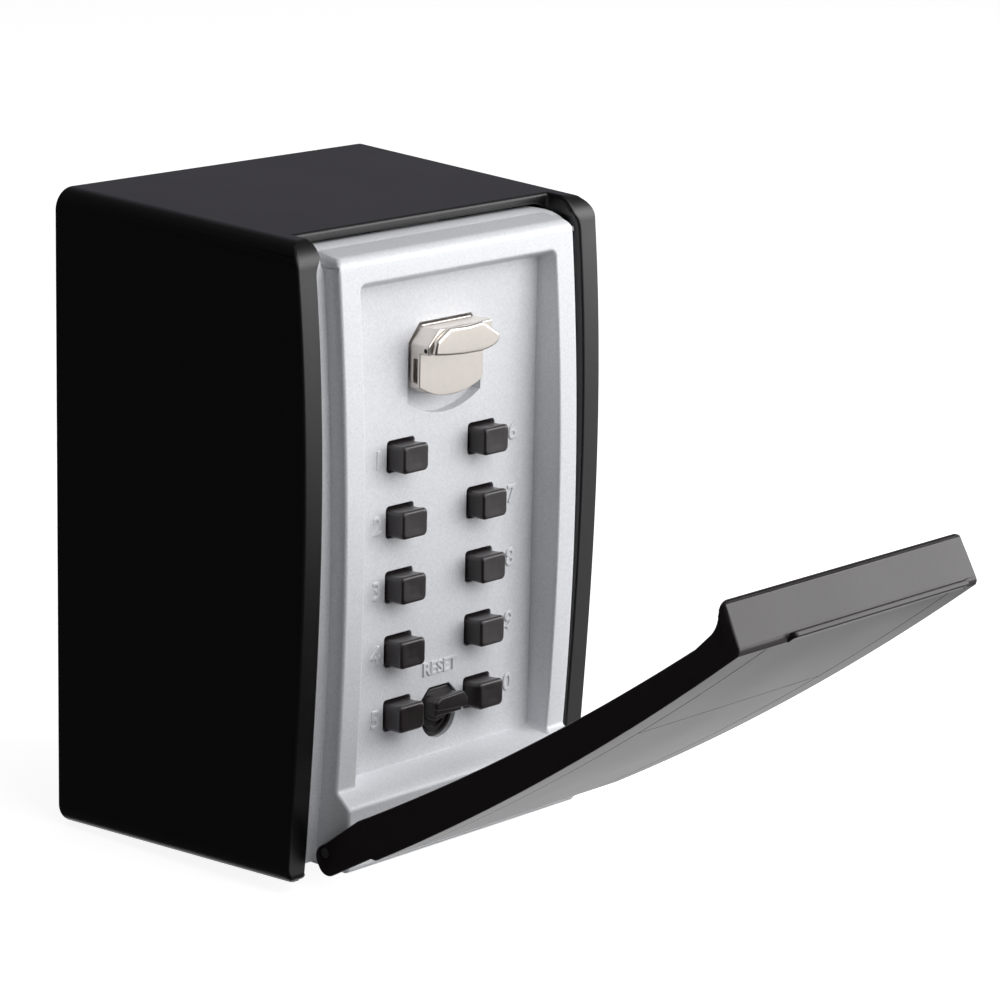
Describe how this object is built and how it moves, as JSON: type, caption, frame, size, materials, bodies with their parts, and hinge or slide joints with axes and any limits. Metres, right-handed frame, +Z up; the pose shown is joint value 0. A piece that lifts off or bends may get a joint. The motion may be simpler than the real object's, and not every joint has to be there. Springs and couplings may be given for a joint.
{
  "type": "key lock box",
  "caption": "Wall-mounted key lock box with push-button code lock, drop-down door and hinged weather cover over the buttons.",
  "frame": {"origin": "middle of the flat back face that lies on the wall", "axes": "+X to the right seen from the front, -Y out of the wall, +Z up"},
  "size_m": [0.1048, 0.201, 0.155],
  "materials": {
    "housing_black": "black satin paint over a casting",
    "door_silver": "silver metallic paint with a fine sparkle",
    "cover_black": "black satin moulding",
    "button_black": "black satin moulding",
    "lever_nickel": "warm nickel plate, polished",
    "plated_steel": "zinc plated",
    "spring_steel": "drawn wire",
    "screw_steel": "zinc plated",
    "cam_brass": "turned"
  },
  "bodies": {
    "housing": {"housing": "housing_black", "key_hook": "plated_steel", "hook_screw": "screw_steel", "strike": "plated_steel", "strike_screw_1": "screw_steel", "strike_screw_2": "screw_steel", "door_hinge_pin": "plated_steel"},
    "door": {"door_front": "door_silver", "door_back_plate": "plated_steel", "back_screw_1": "screw_steel", "back_screw_2": "screw_steel", "back_screw_3": "screw_steel", "back_screw_4": "screw_steel", "spring_carrier": "plated_steel", "carrier_screw_1": "screw_steel", "carrier_screw_2": "screw_steel", "cover_pin_left": "plated_steel", "cover_pin_right": "plated_steel", "lever_spring": "spring_steel", "reset_spring": "spring_steel", "button_spring_1": "spring_steel", "button_spring_2": "spring_steel", "button_spring_3": "spring_steel", "button_spring_4": "spring_steel", "button_spring_5": "spring_steel", "button_spring_6": "spring_steel", "button_spring_7": "spring_steel", "button_spring_8": "spring_steel", "button_spring_9": "spring_steel", "button_spring_0": "spring_steel"},
    "cover": {"cover": "cover_black"},
    "lever": {"lever": "lever_nickel"},
    "latch": {"latch_plate": "plated_steel"},
    "reset": {"reset_lever": "button_black"},
    "button_1": {"button_1": "button_black"},
    "code_cam_1": {"code_cam_1": "cam_brass"},
    "button_2": {"button_2": "button_black"},
    "code_cam_2": {"code_cam_2": "cam_brass"},
    "button_3": {"button_3": "button_black"},
    "code_cam_3": {"code_cam_3": "cam_brass"},
    "button_4": {"button_4": "button_black"},
    "code_cam_4": {"code_cam_4": "cam_brass"},
    "button_5": {"button_5": "button_black"},
    "code_cam_5": {"code_cam_5": "cam_brass"},
    "button_6": {"button_6": "button_black"},
    "code_cam_6": {"code_cam_6": "cam_brass"},
    "button_7": {"button_7": "button_black"},
    "code_cam_7": {"code_cam_7": "cam_brass"},
    "button_8": {"button_8": "button_black"},
    "code_cam_8": {"code_cam_8": "cam_brass"},
    "button_9": {"button_9": "button_black"},
    "code_cam_9": {"code_cam_9": "cam_brass"},
    "button_0": {"button_0": "button_black"},
    "code_cam_0": {"code_cam_0": "cam_brass"}
  },
  "joints": [
    {"name": "door_swing", "type": "hinge", "parent": "housing", "child": "door", "pos_m": [0, -0.069, -0.0695], "axis": [1, 0, 0], "range_deg": [0, 75]},
    {"name": "cover_swing", "type": "hinge", "parent": "door", "child": "cover", "pos_m": [0, -0.0798, -0.0676], "axis": [1, 0, 0], "range_deg": [-57.7, 0]},
    {"name": "lever_slide", "type": "slide", "parent": "door", "child": "lever", "axis": [0, 0, -1], "range_m": [0, 0.0045], "stiffness_N_per_m": 1200, "deforming": ["lever_spring"]},
    {"name": "latch_slide", "type": "slide", "parent": "door", "child": "latch", "axis": [0, 0, -1], "range_m": [0, 0.0045]},
    {"name": "reset_slide", "type": "slide", "parent": "door", "child": "reset", "axis": [0, 0, -1], "range_m": [0, 0.0035], "stiffness_N_per_m": 100, "deforming": ["reset_spring"]},
    {"name": "button_1_press", "type": "slide", "parent": "door", "child": "button_1", "axis": [0, 1, 0], "range_m": [0, 0.003], "stiffness_N_per_m": 110, "deforming": ["button_spring_1"]},
    {"name": "button_2_press", "type": "slide", "parent": "door", "child": "button_2", "axis": [0, 1, 0], "range_m": [0, 0.003], "stiffness_N_per_m": 110, "deforming": ["button_spring_2"]},
    {"name": "button_3_press", "type": "slide", "parent": "door", "child": "button_3", "axis": [0, 1, 0], "range_m": [0, 0.003], "stiffness_N_per_m": 110, "deforming": ["button_spring_3"]},
    {"name": "button_4_press", "type": "slide", "parent": "door", "child": "button_4", "axis": [0, 1, 0], "range_m": [0, 0.003], "stiffness_N_per_m": 110, "deforming": ["button_spring_4"]},
    {"name": "button_5_press", "type": "slide", "parent": "door", "child": "button_5", "axis": [0, 1, 0], "range_m": [0, 0.003], "stiffness_N_per_m": 110, "deforming": ["button_spring_5"]},
    {"name": "button_6_press", "type": "slide", "parent": "door", "child": "button_6", "axis": [0, 1, 0], "range_m": [0, 0.003], "stiffness_N_per_m": 110, "deforming": ["button_spring_6"]},
    {"name": "button_7_press", "type": "slide", "parent": "door", "child": "button_7", "axis": [0, 1, 0], "range_m": [0, 0.003], "stiffness_N_per_m": 110, "deforming": ["button_spring_7"]},
    {"name": "button_8_press", "type": "slide", "parent": "door", "child": "button_8", "axis": [0, 1, 0], "range_m": [0, 0.003], "stiffness_N_per_m": 110, "deforming": ["button_spring_8"]},
    {"name": "button_9_press", "type": "slide", "parent": "door", "child": "button_9", "axis": [0, 1, 0], "range_m": [0, 0.003], "stiffness_N_per_m": 110, "deforming": ["button_spring_9"]},
    {"name": "button_0_press", "type": "slide", "parent": "door", "child": "button_0", "axis": [0, 1, 0], "range_m": [0, 0.003], "stiffness_N_per_m": 110, "deforming": ["button_spring_0"]},
    {"name": "code_cam_1_turn", "type": "hinge", "parent": "door", "child": "code_cam_1", "pos_m": [-0.01358, -0.0538, 0.021], "axis": [0, 1, 0], "range_deg": [0, 180]},
    {"name": "code_cam_2_turn", "type": "hinge", "parent": "door", "child": "code_cam_2", "pos_m": [-0.01358, -0.0538, 0.0055], "axis": [0, 1, 0], "range_deg": [0, 180]},
    {"name": "code_cam_3_turn", "type": "hinge", "parent": "door", "child": "code_cam_3", "pos_m": [-0.01358, -0.0538, -0.01], "axis": [0, 1, 0], "range_deg": [0, 180]},
    {"name": "code_cam_4_turn", "type": "hinge", "parent": "door", "child": "code_cam_4", "pos_m": [-0.01358, -0.0538, -0.0255], "axis": [0, 1, 0], "range_deg": [0, 180]},
    {"name": "code_cam_5_turn", "type": "hinge", "parent": "door", "child": "code_cam_5", "pos_m": [-0.01358, -0.0538, -0.041], "axis": [0, 1, 0], "range_deg": [0, 180]},
    {"name": "code_cam_6_turn", "type": "hinge", "parent": "door", "child": "code_cam_6", "pos_m": [0.01358, -0.0538, 0.021], "axis": [0, 1, 0], "range_deg": [0, 180]},
    {"name": "code_cam_7_turn", "type": "hinge", "parent": "door", "child": "code_cam_7", "pos_m": [0.01358, -0.0538, 0.0055], "axis": [0, 1, 0], "range_deg": [0, 180]},
    {"name": "code_cam_8_turn", "type": "hinge", "parent": "door", "child": "code_cam_8", "pos_m": [0.01358, -0.0538, -0.01], "axis": [0, 1, 0], "range_deg": [0, 180]},
    {"name": "code_cam_9_turn", "type": "hinge", "parent": "door", "child": "code_cam_9", "pos_m": [0.01358, -0.0538, -0.0255], "axis": [0, 1, 0], "range_deg": [0, 180]},
    {"name": "code_cam_0_turn", "type": "hinge", "parent": "door", "child": "code_cam_0", "pos_m": [0.01358, -0.0538, -0.041], "axis": [0, 1, 0], "range_deg": [0, 180]}
  ],
  "couplings": [
    {"joint": "latch_slide", "follows": "lever_slide", "ratio": 1}
  ]
}
